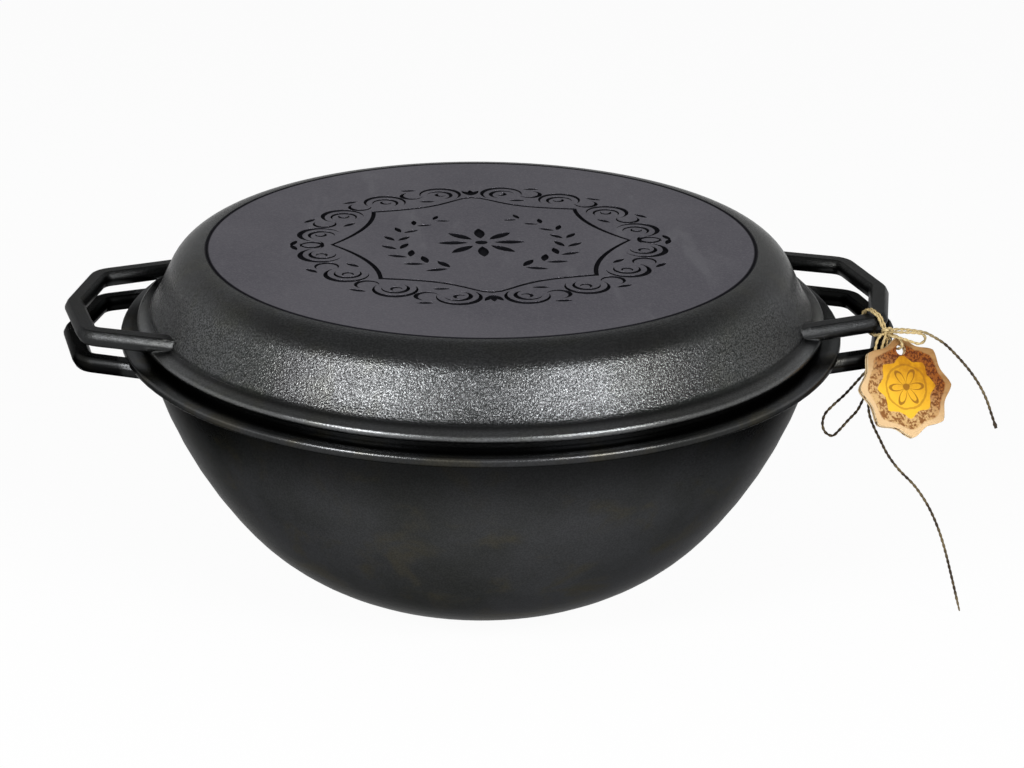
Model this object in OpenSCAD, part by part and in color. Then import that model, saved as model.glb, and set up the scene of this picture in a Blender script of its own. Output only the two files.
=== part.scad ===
// A two-handled cast-iron wok with a heavy lid that turns over to serve as a shallow pan.
// Lengths are millimetres. The foot stands on z = 0 and the handles lie along X.

/* [Bowl] */
// Outer diameter of the bowl's flange
rim_d = 340; // [330:1:360]
// Height from the foot to the top of the bowl's flange
bowl_h = 130.5; // [128.5:0.5:140]
// Diameter of the flat foot
foot_d = 87; // [76:1:96]
// Thickness of the bowl's wall
bowl_wall = 4.5; // [3.5:0.1:5.5]
// Width of the bowl's flange outside the wall
bowl_flange_w = 10.6; // [9:0.1:12]
// Thickness of the bowl's flange
bowl_flange_t = 4.2; // [3.5:0.1:5]
// Slope of the wall where it leaves the foot, in degrees from level
foot_slope = 6; // [4:1:9]
// Slope where the belly's curve gives way to the flatter curve of the side
belly_slope = 51.5; // [48:0.5:55]
// Slope of the wall under the flange
rim_slope = 77.5; // [75:0.5:80]

/* [Lid] */
// Distance of the lid's flange edge inside the edge of the bowl's flange
lid_setback = 8; // [7:0.5:10]
// Width of the lid's flange outside its wall
lid_flange_w = 6.2; // [5.2:0.2:7]
// Distance from the lid's wall at its flange in to the edge line round the flat top
shoulder_run = 26.8; // [24:0.2:29]
// Height of the lid's flat top above the bowl's flange
lid_rise = 38.2; // [35:0.1:44]
// Thickness of the flat top
lid_top_t = 5; // [4:0.1:6]
// Thickness of the lid's wall
lid_wall = 4.5; // [3.5:0.1:5.5]
// Lean of the lid's wall from upright, in degrees
lid_lean = 26.5; // [24:0.5:29]
// Thickness of the lid's flange at its edge
lid_flange_t = 3.8; // [3.4:0.1:4.4]
// Fall of the flange's top face from the wall to its edge
lid_flange_fall = 1.6; // [1:0.1:2]
// Open gap between the two flanges
flange_gap = 3.2; // [2.5:0.1:4]
// Width of the ring that bears on the bowl's flange
seat_w = 2.2; // [1.8:0.1:3]
// Depth of the ring that drops into the bowl's mouth
spigot_h = 3.5; // [2:0.5:5]
// Thickness of that ring
spigot_w = 4; // [3:0.5:5]
// Space between that ring and the mouth
spigot_gap = 1; // [0.5:0.1:1.5]
// Turn of the lid from the bowl's handles, in degrees
lid_turn = 2; // [-4:1:2]

/* [Handles] */
// Reach of the bowl's handles beyond its flange
bowl_handle_out = 28; // [24:1:34]
// Reach of the lid's handles beyond its flange
lid_handle_out = 34; // [30:1:40]
// Distance that the end bar's middle stands out beyond its corners
end_peak = 10; // [7:1:13]
// Half the width of a handle across its outer corners
corner_half_w = 43.5; // [40:0.5:47]
// Splay of the side bars, in degrees from X
bar_splay = 20; // [16:1:24]
// Width of a bar at its waist
bar_w = 9.5; // [8:0.5:11]
// Width of a bar's flat top and bottom
bar_flat_w = 5.4; // [4.5:0.1:6]
// Thickness of a bar
bar_t = 7.5; // [6.5:0.5:8.5]
// Bend radius of a bar's middle line at the corners
corner_r = 9; // [7:1:12]
// Bend radius of a bar's middle line at the peak
peak_r = 8; // [6:1:14]
// Depth of the middle of the bowl's bars below the top of its flange
bowl_bar_drop = 5.3; // [4.5:0.1:6]
// Height of the middle of the lid's bars above the bowl's flange
lid_bar_lift = 9.7; // [9:0.1:11]

/* [Ornament] */
// Depth of the carved lines
carve_depth = 0.9; // [0.4:0.1:1.5]
// Width of the frame's line
frame_line_w = 2; // [1.4:0.1:3.2]
// Distance from the middle to the frame's four peaks, sharp along X and round along Y
frame_reach = 70; // [66:1:72]
// Distance from the middle to the frame's four corners, along X and along Y
frame_corner = 49; // [46:1:51]
// Radius of the ring of scrolls, to the scrolls' middles
scroll_ring_r = 77.5; // [76:0.5:84]
// Number of scrolls in the ring
scrolls = 16; // [12:4:16]
// Radius of a scroll's outer curl
scroll_r = 10.4; // [8:0.2:11]
// Width of that curl's line at its back
curl_line_w = 3; // [2.4:0.1:4.2]
// Width of the line of the smaller curls
small_line_w = 2.4; // [1.6:0.1:3]
// Reach of the rosette's petals from the middle
rosette_r = 21; // [16:1:24]
// Number of petals
petals = 8; // [6:1:10]
// Radius of the wreath round the rosette, along its stems
wreath_r = 40; // [37:1:42]
// Pairs of leaves on each half of the wreath
leaf_pairs = 8; // [6:1:10]
// Length of the wreath's longest leaves
leaf_l = 11; // [9:0.5:12]

/* [Tag and twine] */
// Distance from the middle of the wooden tag to its points
tag_r = 23.8; // [21:0.2:25]
// Depth of the hollows between the points
tag_hollow = 3.2; // [1:0.2:4]
// Number of points round the tag
tag_points = 8; // [6:1:10]
// Thickness of the tag
tag_t = 3; // [2:0.5:3]
// Diameter of the tag's hole
tag_hole_d = 5; // [4:0.5:6]
// Distance from the tag's middle to its hole
tag_hole_out = 17.6; // [16:0.2:17.8]
// Diameter of the twine
twine_d = 1.4; // [1:0.1:1.8]
// Radius of the knot
knot_r = 3.4; // [3:0.1:3.4]

/* [Hidden] */
$fn = 96;
eps = 0.01;
wall_step = 4;
edge_step = 30;
iron = "#3b3a3e";
wood = "#c98b45";
jute = "#b59a63";

// Radii of the belly's and the side's arcs, worked out from where the wall starts and ends
rim_r = rim_d / 2;
foot_r = foot_d / 2;
edge_round = 1.5;
fillet_r = 3;
lip_chamfer = 0.6;
wall_top_r = rim_r - bowl_flange_w;
wall_top_z = bowl_h - bowl_flange_t;
belly_run = sin(belly_slope) - sin(foot_slope);
side_run = sin(rim_slope) - sin(belly_slope);
belly_rise = cos(foot_slope) - cos(belly_slope);
side_rise = cos(belly_slope) - cos(rim_slope);
run_rise = belly_run * side_rise - side_run * belly_rise;
belly_r = ((wall_top_r - foot_r) * side_rise - side_run * wall_top_z) / run_rise;
side_r = (belly_run * wall_top_z - belly_rise * (wall_top_r - foot_r)) / run_rise;
belly_c = [foot_r - belly_r * sin(foot_slope), belly_r * cos(foot_slope)];
side_c = belly_c + (belly_r - side_r) * [sin(belly_slope), -cos(belly_slope)];
fillet_l = fillet_r * tan(rim_slope / 2);
fillet_slope = rim_slope - fillet_l / side_r * 180 / PI;
floor_slope = acos((belly_c[1] - bowl_wall) / (belly_r - bowl_wall));
mouth_slope = acos((side_c[1] - bowl_h) / (side_r - bowl_wall));
mouth_r = side_c[0] + (side_r - bowl_wall) * sin(mouth_slope);

// Heights and radii of the lid
lid_r = rim_r - lid_setback;
lid_root_r = lid_r - lid_flange_w;
lid_top_r = lid_root_r - shoulder_run;
lid_top_z = bowl_h + lid_rise;
lid_under_z = bowl_h + flange_gap;
lid_edge_z = lid_under_z + lid_flange_t;
lid_root_z = lid_edge_z + lid_flange_fall;
lid_fillet = 1;
lean_tan = tan(lid_lean);
shoulder_r = (lid_root_r - lid_top_r - (lid_top_z - lid_root_z) * lean_tan)
    / (cos(lid_lean) - (1 - sin(lid_lean)) * lean_tan);
shoulder_c = [lid_top_r, lid_top_z - shoulder_r];
seat_out_r = mouth_r + lip_chamfer + seat_w;
spigot_out_r = mouth_r - spigot_gap;
spigot_in_r = spigot_out_r - spigot_w;
spigot_z = bowl_h - spigot_h;
edge_line_w = 0.9;
edge_line_depth = 0.5;

// Space between a wreath's stem and its leaves, and a leaf's width as a share of its length
stem_gap = 1.3;
leaf_share = 0.34;

// Turns of a scroll's curls and leaf, how narrow the frame's round peaks are, how far over a peak
// its fan of leaves starts and how far it spreads, the spread of a wreath's leaves from its stem
// and how much of their length they lose towards the top
curl_turn = -62;
middle_turn = -35;
heart_turn = 150;
out_leaf_turn = 8;
gap_leaf_turn = 12;
peak_narrowness = 9;
fan_gap = 3.5;
fan_spread = 28;
leaf_spread = 38;
leaf_taper = 0.35;

// Middle lines of the handles' bars: reach, slopes, turns and the soft edges of their section
bowl_reach = rim_r + bowl_handle_out;
lid_reach = lid_r + lid_handle_out;
end_slope = atan(end_peak / corner_half_w);
corner_turn = 90 - end_slope - bar_splay;
side_way = [cos(bar_splay), sin(bar_splay)];
bar_root_r = spigot_in_r - bar_w / 2;
waist_h = 1;
bar_edge = 0.8;
bend_steps = 5;

// Places of the tag's middle and of the knot, how the tag hangs, and how its outline comes to
// its points, where 2 would be a plain wave and 0.5 would be spikes
tag_at = [194, -54, 115.4];
tag_facing = 21;
tag_lean = 32;
tag_roll = -5;
point_shape = 1.4;
knot_at = [186.5, -42, 138];
tube_sides = 8;

// Reach, height and turn of the lid's handle that these places and the twine's points were chosen for
drawn_reach = 196;
drawn_h = 130.5;
drawn_turn = 2;

// The twine's runs, each a list of points along its middle. The second turn round the bar lies
// beside the first, on the side of the bowl.
wrap_route = [[185.8, -39.1, 139.7], [184.8, -38.3, 142], [183.6, -37.2, 144.4], [182, -35, 145.4],
    [180.1, -31.3, 145.7], [178.4, -28.3, 143.5], [178.2, -27.8, 139.8], [179, -28.8, 136.3],
    [180.8, -32, 134.8], [182.8, -36, 134.8], [185.3, -39.3, 136.4]];
wrap_way = 34;
wrap_step = (twine_d + 0.1) * [cos(wrap_way), sin(wrap_way), 0];
inner_wrap_route = [for (p = wrap_route) p - wrap_step];
eye_route = [[189.6, -43.2, 137], [191.5, -44.6, 136.5], [192.5, -45.7, 134.9], [192.9, -46.1, 133.1],
    [192.4, -45, 131.6], [191.7, -43.5, 130.6], [190.9, -41.8, 130.2], [189.8, -40.7, 131.5],
    [188.6, -40.5, 133.3], [187.7, -41.3, 134.9]];
bow_left_route = [[183.4, -43, 137.1], [181.4, -44.6, 134.8], [180.2, -46.6, 129.2], [179, -48.2, 126],
    [177, -48.8, 122.5], [173.3, -48.4, 117.3], [167.8, -47.2, 109.6], [162.5, -47, 104],
    [159, -47, 99.6], [158.1, -47, 94.6], [159.6, -47, 90.5], [163, -47.2, 88.7], [165.8, -47.4, 91.3],
    [170, -48, 97], [173.6, -48.8, 102], [176, -49.3, 108], [179, -49, 115], [181.4, -48, 121.5],
    [183.2, -45.8, 128], [184.1, -43.9, 131.8], [184.9, -44.2, 135.9]];
bow_right_route = [[188.2, -44.7, 139.3], [190.4, -47, 140], [194, -48.2, 140.3], [198, -48.5, 140.2],
    [201.2, -48.5, 139.6], [202.8, -48.5, 137.8], [202.2, -48.4, 135.8], [200, -48.3, 134.8],
    [196.5, -48.2, 135.8], [192, -47.6, 137.2], [187.9, -45, 137.3]];
tail_short_route = [[189, -42.6, 139.8], [191, -43.6, 140.2], [194, -45, 140.6], [198.5, -45.9, 140.3],
    [203, -46, 139.4], [207, -46, 137.4], [212.8, -46, 133.6], [219.4, -46, 127.2], [226, -46, 119.6],
    [231, -46, 112.4], [234.6, -46, 105.6], [237.4, -46, 98.6], [240.2, -46, 91.5]];
tail_long_route = [[186.5, -42.6, 134.8], [186.4, -42.3, 131.4], [186.2, -43.9, 129], [185.8, -45.8, 126],
    [183.6, -48.4, 120], [180.6, -50.8, 114], [178.2, -52, 108], [178.6, -52.2, 102], [180.8, -52.4, 96],
    [184.2, -52.8, 89.4], [188.4, -53.2, 81.6], [194, -53.8, 74.2], [202, -54.6, 66],
    [208.6, -55.6, 56.6], [213.6, -56.6, 46.6], [217.6, -57.6, 36], [221.8, -58.6, 22],
    [227.2, -59.8, 3]];

// Points of an arc round c, from one angle to another, no more than step degrees apart
function arc(c, r, from, to, step) = let (n = max(1, ceil(abs(to - from) / step)))
    [for (i = [0:n]) let (a = from + (to - from) * i / n) c + r * [cos(a), sin(a)]];

// The bowl's wall from one slope to another, moved in by a distance
function wall_line(inset, from, to) = concat(
    arc(belly_c, belly_r - inset, from - 90, belly_slope - 90, wall_step),
    arc(side_c, side_r - inset, belly_slope + wall_step / 2 - 90, to - 90, wall_step));

// Half section of the bowl without its hollow
function bowl_outline() = concat(
    [[0, 0]],
    wall_line(0, foot_slope, fillet_slope),
    arc([wall_top_r + fillet_l, wall_top_z - fillet_r], fillet_r, 90 + rim_slope - edge_step / 2, 90,
        edge_step),
    arc([rim_r - edge_round, wall_top_z + edge_round], edge_round, -90, 0, edge_step),
    arc([rim_r - edge_round, bowl_h - edge_round], edge_round, 0, 90, edge_step),
    [[0, bowl_h]]);

// Half section of the bowl's hollow, with the chamfer of its mouth
function bowl_hollow() = let (chamfer_slope = mouth_slope - lip_chamfer / side_r * 180 / PI) concat(
    [[0, bowl_wall]],
    wall_line(bowl_wall, floor_slope, chamfer_slope),
    [[mouth_r + lip_chamfer + eps, bowl_h + eps], [0, bowl_h + eps]]);

// Half section of the lid without its hollow
function lid_outline() = concat(
    [[0, spigot_z], [spigot_out_r - 1, spigot_z], [spigot_out_r, spigot_z + 1],
     [spigot_out_r, bowl_h], [seat_out_r, bowl_h], [seat_out_r, lid_under_z]],
    arc([lid_r - edge_round, lid_under_z + edge_round], edge_round, -90, 0, edge_step),
    arc([lid_r - edge_round, lid_edge_z - edge_round], edge_round, 0, 75, edge_step),
    [[lid_root_r + lid_fillet, lid_root_z - lid_fillet * lid_flange_fall / (lid_r - lid_root_r)],
     [lid_root_r - lid_fillet * lean_tan, lid_root_z + lid_fillet]],
    arc(shoulder_c, shoulder_r, lid_lean, 90, wall_step),
    [[lid_top_r - edge_line_w / 2, lid_top_z - edge_line_depth],
     [lid_top_r - edge_line_w, lid_top_z], [0, lid_top_z]]);

// Half section of the lid's hollow, down through the seat ring
function lid_hollow() = concat(
    [[0, spigot_z - eps], [spigot_in_r, spigot_z - eps], [spigot_in_r, bowl_h]],
    arc(shoulder_c, shoulder_r - lid_wall, lid_lean, 90 - wall_step, wall_step),
    [[lid_top_r - lid_top_t, lid_top_z - lid_top_t], [0, lid_top_z - lid_top_t]]);

// Section of a bar: flat top and bottom, sides drafted out to a waist, soft edges
function bar_section() = let (w = bar_w / 2, f = bar_flat_w / 2, t = bar_t / 2, h = waist_h / 2) [
    [-f, -t], [f, -t], [f + bar_edge, bar_edge - t], [w, -h], [w, h], [f + bar_edge, t - bar_edge],
    [f, t], [-f, t], [-f - bar_edge, t - bar_edge], [-w, h], [-w, -h], [-f - bar_edge, bar_edge - t]];

// Faces of a solid swept through rings of that many points each, with both ends closed
function swept_faces(rings, sides) = let (last = (rings - 1) * sides) concat(
    [for (k = [1:sides - 2]) [0, k + 1, k]],
    [for (k = [1:sides - 2]) [last, last + k, last + k + 1]],
    [for (i = [0:rings - 2], k = [0:sides - 1]) let (a = i * sides + k, b = i * sides + (k + 1) % sides)
        each [[a, b, b + sides], [a, b + sides, a + sides]]]);

// Distance back along a side bar from its corner to a radius round the bowl's axis
function way_back(corner, radius) = let (along = corner * side_way)
    along - sqrt(pow(along, 2) - corner * corner + pow(radius, 2));

// Half of a handle's middle line, each point with its direction, from the wall to the peak
function half_line(reach) = let (
    bisector = 90 + (bar_splay + 90 - end_slope) / 2,
    corner = [reach - end_peak, -corner_half_w]
        + bar_w / 2 / cos(corner_turn / 2) * [cos(bisector), sin(bisector)],
    corner_c = corner + corner_r / cos(corner_turn / 2) * [cos(bisector), sin(bisector)],
    peak_c = [reach - bar_w / 2 / cos(end_slope) - peak_r / cos(end_slope), 0])
    concat(
        [[corner - way_back(corner, bar_root_r) * side_way, bar_splay]],
        [for (i = [0:bend_steps]) let (a = bar_splay + corner_turn * i / bend_steps)
            [corner_c + corner_r * [sin(a), -cos(a)], a]],
        [for (i = [0:bend_steps - 1]) let (a = 90 - end_slope * (1 - i / bend_steps))
            [peak_c + peak_r * [sin(a), -cos(a)], a]]);

// One handle towards +X: two splayed side bars and an end bar with a shallow peak
module handle(reach) {
    near = half_line(reach);
    last = len(near) - 1;
    line = concat(near, [[[reach - bar_w / 2 / cos(end_slope) - peak_r * (1 / cos(end_slope) - 1), 0], 90]],
        [for (i = [last:-1:0]) [[near[i][0][0], -near[i][0][1]], 180 - near[i][1]]]);
    section = bar_section();
    points = [for (p = line, q = section) [p[0][0] + q[0] * sin(p[1]), p[0][1] - q[0] * cos(p[1]), q[1]]];
    polyhedron(points, swept_faces(len(line), len(section)));
}

module handle_pair(reach, height) {
    for (side = [0, 180]) rotate(side) translate([0, 0, height]) handle(reach);
}

module wok_bowl() {
    color(iron) difference() {
        union() {
            rotate_extrude() polygon(bowl_outline());
            handle_pair(bowl_reach, bowl_h - bowl_bar_drop);
        }
        rotate_extrude() polygon(bowl_hollow());
    }
}

// A crescent whose back is w thick, with its horns round an opening towards +X
module crescent(r, w) {
    inset = 0.35 * w;
    difference() {
        circle(r);
        translate([w - inset, 0]) circle(r - inset);
    }
}

// A pointed leaf from the origin along +X
module leaf(length, width) {
    r = (pow(length, 2) + pow(width, 2)) / (4 * width);
    translate([length / 2, 0]) intersection() {
        translate([0, width / 2 - r]) circle(r);
        translate([0, r - width / 2]) circle(r);
    }
}

// One scroll of the ring, which faces out along +Y: three curls inside one another, a link
// to the next scroll and a leaf over the link
module scroll() {
    middle_r = 0.62 * scroll_r;
    heart_r = 0.27 * scroll_r;
    link_r = 0.55 * scroll_r;
    out_leaf_l = 0.8 * scroll_r;
    heart_line_w = 0.8 * small_line_w;
    middle_at = [0.05, -0.12] * scroll_r;
    heart_at = [0.02, -0.1] * scroll_r;
    link_at = [1.42, 0.05] * scroll_r;
    out_leaf_at = [0.95, 0.85] * scroll_r;
    rotate(curl_turn) crescent(scroll_r, curl_line_w);
    translate(middle_at) rotate(middle_turn) crescent(middle_r, small_line_w);
    translate(heart_at) rotate(heart_turn) crescent(heart_r, heart_line_w);
    translate(link_at) rotate(heart_turn) crescent(link_r, small_line_w);
    translate(out_leaf_at) rotate(out_leaf_turn) leaf(out_leaf_l, leaf_share * out_leaf_l);
}

// A leaf in the room between two scrolls and the frame
module gap_leaf() {
    gap_leaf_l = 0.8 * scroll_r;
    gap_leaf_at = [0.5, -1.05] * scroll_r;
    translate(gap_leaf_at) rotate(gap_leaf_turn) leaf(gap_leaf_l, leaf_share * gap_leaf_l);
}

module scroll_ring() {
    for (i = [0:scrolls / 4 - 1], mx = [0, 1], my = [0, 1])
        mirror([mx, 0]) mirror([0, my]) rotate(360 * (i + 0.5) / scrolls)
            translate([scroll_ring_r, 0]) rotate(-90) {
                scroll();
                if (i % 2 == 1) gap_leaf();
            }
}

// A fan of three leaves over the frame's round peak along +Y, between the two middle scrolls
module fan() {
    fan_leaf_l = 0.85 * scroll_r;
    translate([0, frame_reach + fan_gap]) for (turn = [-fan_spread, 0, fan_spread]) rotate(90 + turn)
        leaf(fan_leaf_l, leaf_share * fan_leaf_l);
}

// How far out a side of the frame swings at a share of the way from its middle to its corner
function swing(s, round_peak) = round_peak
    ? (1 - pow(s, 4)) / (1 + peak_narrowness * s * s)
    : pow(1 - s, 2);

// One side of the frame, from just after one corner to the next
function brace(corner, reach, round_peak, n = 12) = [for (i = [1 - n:n])
    [corner * i / n, corner + (reach - corner) * swing(abs(i / n), round_peak)]];

function turned_points(points, a) = [for (p = points) [p[0] * cos(a) - p[1] * sin(a),
    p[0] * sin(a) + p[1] * cos(a)]];

// The frame's outline, grown by g
module frame_area(g) {
    polygon([for (a = [0:-90:-270])
        each turned_points(brace(frame_corner + g, frame_reach + g, a % 180 == 0), a)]);
}

// Half a wreath on the +X side: pairs of leaves that get shorter towards the top
module half_wreath() {
    from = -66;
    to = 58;
    step = (to - from) / (leaf_pairs - 1);
    for (i = [0:leaf_pairs - 1], m = [-1, 1]) {
        length = leaf_l * (1 - leaf_taper * i / (leaf_pairs - 1));
        rotate(from + step * i) translate([wreath_r, 0]) rotate(90 + m * leaf_spread)
            translate([stem_gap, 0]) leaf(length, leaf_share * length);
    }
}

module centre_motif() {
    petal_from = 0.28 * rosette_r;
    petal_l = rosette_r - petal_from;
    for (i = [0:petals - 1]) rotate(360 * i / petals) translate([petal_from, 0])
        leaf(petal_l, leaf_share * petal_l);
    circle(petal_from / 2);
    for (mx = [0, 1]) mirror([mx, 0]) half_wreath();
}

module carving() {
    scroll_ring();
    for (my = [0, 1]) mirror([0, my]) fan();
    difference() {
        frame_area(frame_line_w / 2);
        frame_area(-frame_line_w / 2);
    }
    centre_motif();
}

module lid_pan() {
    color(iron) rotate(lid_turn) difference() {
        union() {
            rotate_extrude() polygon(lid_outline());
            handle_pair(lid_reach, bowl_h + lid_bar_lift);
        }
        rotate_extrude() polygon(lid_hollow());
        translate([0, 0, lid_top_z - carve_depth]) linear_extrude(carve_depth + 1) carving();
    }
}

// Keeps what hangs on the lid's handle at its place on that handle
module hung() {
    rotate(lid_turn - drawn_turn) translate([lid_reach - drawn_reach, 0, bowl_h - drawn_h]) children();
}

// A flat wooden tag with soft points all round and one hole, hung so that it leans on the handle
module hang_tag() {
    steps = 12 * tag_points;
    outline = [for (i = [0:steps - 1]) let (a = 360 * i / steps)
        (tag_r - tag_hollow * pow(abs(sin(a * tag_points / 2)), point_shape)) * [cos(a), sin(a)]];
    color(wood) hung() translate(tag_at) rotate(tag_facing) rotate([90 - tag_lean, 0, 0]) rotate(tag_roll)
        translate([0, 0, -tag_t / 2]) difference() {
            linear_extrude(tag_t) polygon(outline);
            translate([0, tag_hole_out, -1]) cylinder(h = tag_t + 2, d = tag_hole_d);
        }
}

function unit(v) = v / norm(v);

// Direction of a route at one of its points
function heading(route, i) = unit(route[min(i + 1, len(route) - 1)] - route[max(i - 1, 0)]);

// A direction square to the route, carried from point to point so that the tube doesn't twist
function beside(route, i) = let (
    t = heading(route, i),
    u = i == 0 ? cross(t, abs(t[2]) < 0.9 ? [0, 0, 1] : [0, 1, 0]) : beside(route, i - 1))
    unit(u - (u * t) * t);

function ring(route, i, r) = let (t = heading(route, i), u = beside(route, i), v = cross(t, u))
    [for (k = [0:tube_sides - 1]) let (a = 360 * k / tube_sides) route[i] + r * (cos(a) * u + sin(a) * v)];

// A round tube swept along a route's points
module twine(route) {
    points = [for (i = [0:len(route) - 1]) each ring(route, i, twine_d / 2)];
    color(jute) hung() polyhedron(points, swept_faces(len(route), tube_sides));
}

module twine_knot() {
    color(jute) hung() translate(knot_at) sphere(knot_r);
}

wok_bowl();
lid_pan();
hang_tag();
twine_knot();
twine(wrap_route);  // twine_wrap_outer
twine(inner_wrap_route);  // twine_wrap_inner
twine(eye_route);  // twine_eye
twine(bow_left_route);  // twine_bow_left
twine(bow_right_route);  // twine_bow_right
twine(tail_short_route);  // twine_tail_short
twine(tail_long_route);  // twine_tail_long
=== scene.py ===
import math

import bmesh
import bpy
from mathutils import Matrix, Vector


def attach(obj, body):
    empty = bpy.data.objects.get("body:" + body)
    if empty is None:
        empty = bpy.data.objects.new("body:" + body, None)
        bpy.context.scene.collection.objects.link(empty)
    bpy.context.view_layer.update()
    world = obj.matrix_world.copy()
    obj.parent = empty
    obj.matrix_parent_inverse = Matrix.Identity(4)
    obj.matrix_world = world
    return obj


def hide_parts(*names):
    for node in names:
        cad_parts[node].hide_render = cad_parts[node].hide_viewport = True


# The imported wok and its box
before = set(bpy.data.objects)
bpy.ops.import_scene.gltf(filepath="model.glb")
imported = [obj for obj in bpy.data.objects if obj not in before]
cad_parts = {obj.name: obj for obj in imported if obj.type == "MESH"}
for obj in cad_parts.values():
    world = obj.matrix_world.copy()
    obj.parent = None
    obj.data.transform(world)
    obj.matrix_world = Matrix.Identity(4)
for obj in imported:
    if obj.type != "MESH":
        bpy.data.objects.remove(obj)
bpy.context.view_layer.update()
MM = 0.001

# The lid's flat top, its carving and its edge line, as in part.scad
LID_TOP = 168.7 * MM
LID_TOP_R = 129 * MM
CARVE_FLOOR = 167.8 * MM
EDGE_LINE_R = 128.55 * MM

# Camera: where it stands round the wok, and how the photograph is framed
VIEW_TARGET = Vector((0, 0, 0.060))
VIEW_DISTANCE = 1.25
VIEW_ELEVATION = math.radians(23.14)
VIEW_TURN = math.radians(2.2)
VIEW_ROLL = math.radians(0.44)
VIEW_LENS = 90.33
VIEW_SHIFT = (0.0315, 0.0694)
VIEW_CLIP = (0.05, 60)

# Surroundings: the floor, how white it is where it is seen, the room's light, and the heights in
# the sky between which it dims where it is seen
FLOOR_HALF = 12
FLOOR_DROP = 0.2 * MM
FLOOR_GREY = 0.9
FLOOR_WHITE = 0.95
ROOM_LIGHT = 0.2
ROOM_OVERHEAD = 0.3
ROOM_DIMS = (0.35, 0.75)

# The two lamps on the camera's side, in degrees round the wok and above it, and metres
LAMP_ELEVATION = 28
LAMP_DISTANCE = 1.7
LAMP_TALL = 0.45
LEFT_LAMP = {"azimuth": -41, "width": 0.55, "radiance": 27.5}
RIGHT_LAMP = {"azimuth": 37, "width": 0.75, "radiance": 19.8}

# Smoothing of the castings: how near split corners are joined, and the least angle of a real edge
WELD = 0.001 * MM
EDGE_ANGLE = math.radians(28)

# Where a casting's look changes, each from one height, radius or distance to another, and how
# much of the top shows through the edge line's painted shade and how dark the painted shade up the
# bowl's side gets
TOP_BEGINS = (CARVE_FLOOR - 0.6 * MM, CARVE_FLOOR - 0.2 * MM)
TOP_ENDS = (LID_TOP_R - 0.6 * MM, LID_TOP_R + 0.4 * MM)
CARVING_ENDS = (LID_TOP - 0.15 * MM, LID_TOP - 0.01 * MM)
EDGE_LINE_FADES = (0.6 * MM, 1.2 * MM)
# Painted shade up the bowl's side between the first heights, ending at the flange between the last ones
SHADE_UNDER_FLANGE_SPAN = (85 * MM, 124 * MM)
ROUGH_SIDE_ENDS = (118 * MM, 124 * MM)
SHADE_UNDER_FLANGE_ENDS = (126 * MM, 128 * MM)
PEBBLES_BEGIN = (139 * MM, 142 * MM)
SHOULDER_SMOOTHS = (157 * MM, 165 * MM)
EDGE_LINE_THROUGH = 0.05
SHADE_UNDER_FLANGE = 0.25

# Painted shade on the bowl flange's outer face, in the gap between the flanges and in the crease
# over the lid's flange: their heights, and how far above and below them they fade
FLANGE_FACE_Z = 128 * MM
FLANGE_FACE_FADES = (0.9 * MM, 1.8 * MM)
GAP_Z = 132.2 * MM
GAP_FADES = (1.5 * MM, 2.6 * MM)
CREASE_Z = 139.6 * MM
CREASE_FADES = (0.7 * MM, 1.8 * MM)
# How dark the painted shade on the bowl flange's face and in the crease is, away from the handles
CREASE_SHADE = 0.45

# The handles' bars: how far out along X they leave the wall, between which heights the lid's lie,
# how squarely a face looks up or sideways to count as theirs, and how dark they are
BAR_ROOTS = (138 * MM, 142 * MM)
BARS_BEGIN = (139.2 * MM, 140.2 * MM)
BARS_END = (146 * MM, 148 * MM)
BAR_FACING = (0.6, 0.8)
BAR_SHADE = 0.42

# Iron: colours as linear red, green, blue and alpha
TOP_DARK = (0.120, 0.116, 0.137, 1)
TOP_LIGHT = (0.158, 0.153, 0.175, 1)
TOP_RUBBED = (0.24, 0.24, 0.26, 1)
TOP_DUST = (0.25, 0.24, 0.26, 1)
# Painted shade in the carving and in the edge line's groove
CARVING_PAINTED_SHADE = (0.013, 0.013, 0.016, 1)

# How much of the stains, of the rubbed streaks and of the dust shows at most, and how much darker
# and brighter the grains are than the wall
STAIN_MOST = 0.7
RUBBED_MOST = 0.35
DUST_MOST = 0.45
GRAIN_DARKER = 0.4
GRAIN_BRIGHTER = 0.8

# Each casting's wall colours, stains and tint of grazing reflections, the strength of its pebbles,
# the radius where its flange's edge begins, made brighter by rubbed wear and painted highlight, its
# brightness under the painted shade in the gap between the flanges and how far its edges are softened
BOWL_LOOK = {
    "dark": (0.033, 0.034, 0.033, 1), "light": (0.047, 0.048, 0.050, 1),
    "stain": (0.052, 0.048, 0.036, 1), "edge_tint": (0.40, 0.40, 0.40, 1),
    "pebbles": 0.7, "flange_edge_r": 166 * MM, "gap_shade": 1.0, "soft_edge": 0.7 * MM}
LID_LOOK = {
    "dark": (0.054, 0.055, 0.054, 1), "light": (0.071, 0.073, 0.075, 1),
    "stain": (0.066, 0.067, 0.060, 1), "edge_tint": (0.50, 0.50, 0.50, 1),
    "pebbles": 1.0, "flange_edge_r": 157 * MM, "gap_shade": 0.3, "soft_edge": 1.2 * MM}
TOP_SOFT_EDGE = 0.5 * MM

# How much brighter the flange's edge is, from rubbed wear and painted highlight, how far inside
# that radius it begins to be and how far outside it is so in full, and how far outside it there is only
# handle
EDGE_WEAR_AND_SHEEN = 1.7
WEAR_AND_SHEEN_BEGINS = 2 * MM
WEAR_AND_SHEEN_FULL = 1 * MM
PAST_FLANGE = (6 * MM, 9 * MM)

# Relief of the iron: the pebbles' depth, and how much of it there is on the top, from the pits,
# under the lid's wall, on its shoulder and on the bars
PEBBLE_DEPTH = 0.34 * MM
TOP_RELIEF = 0.30
PIT_SHARE = 0.3
LOWER_PEBBLES = 0.3
SHOULDER_PEBBLES = 0.4
BAR_PEBBLES = 0.4

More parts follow.
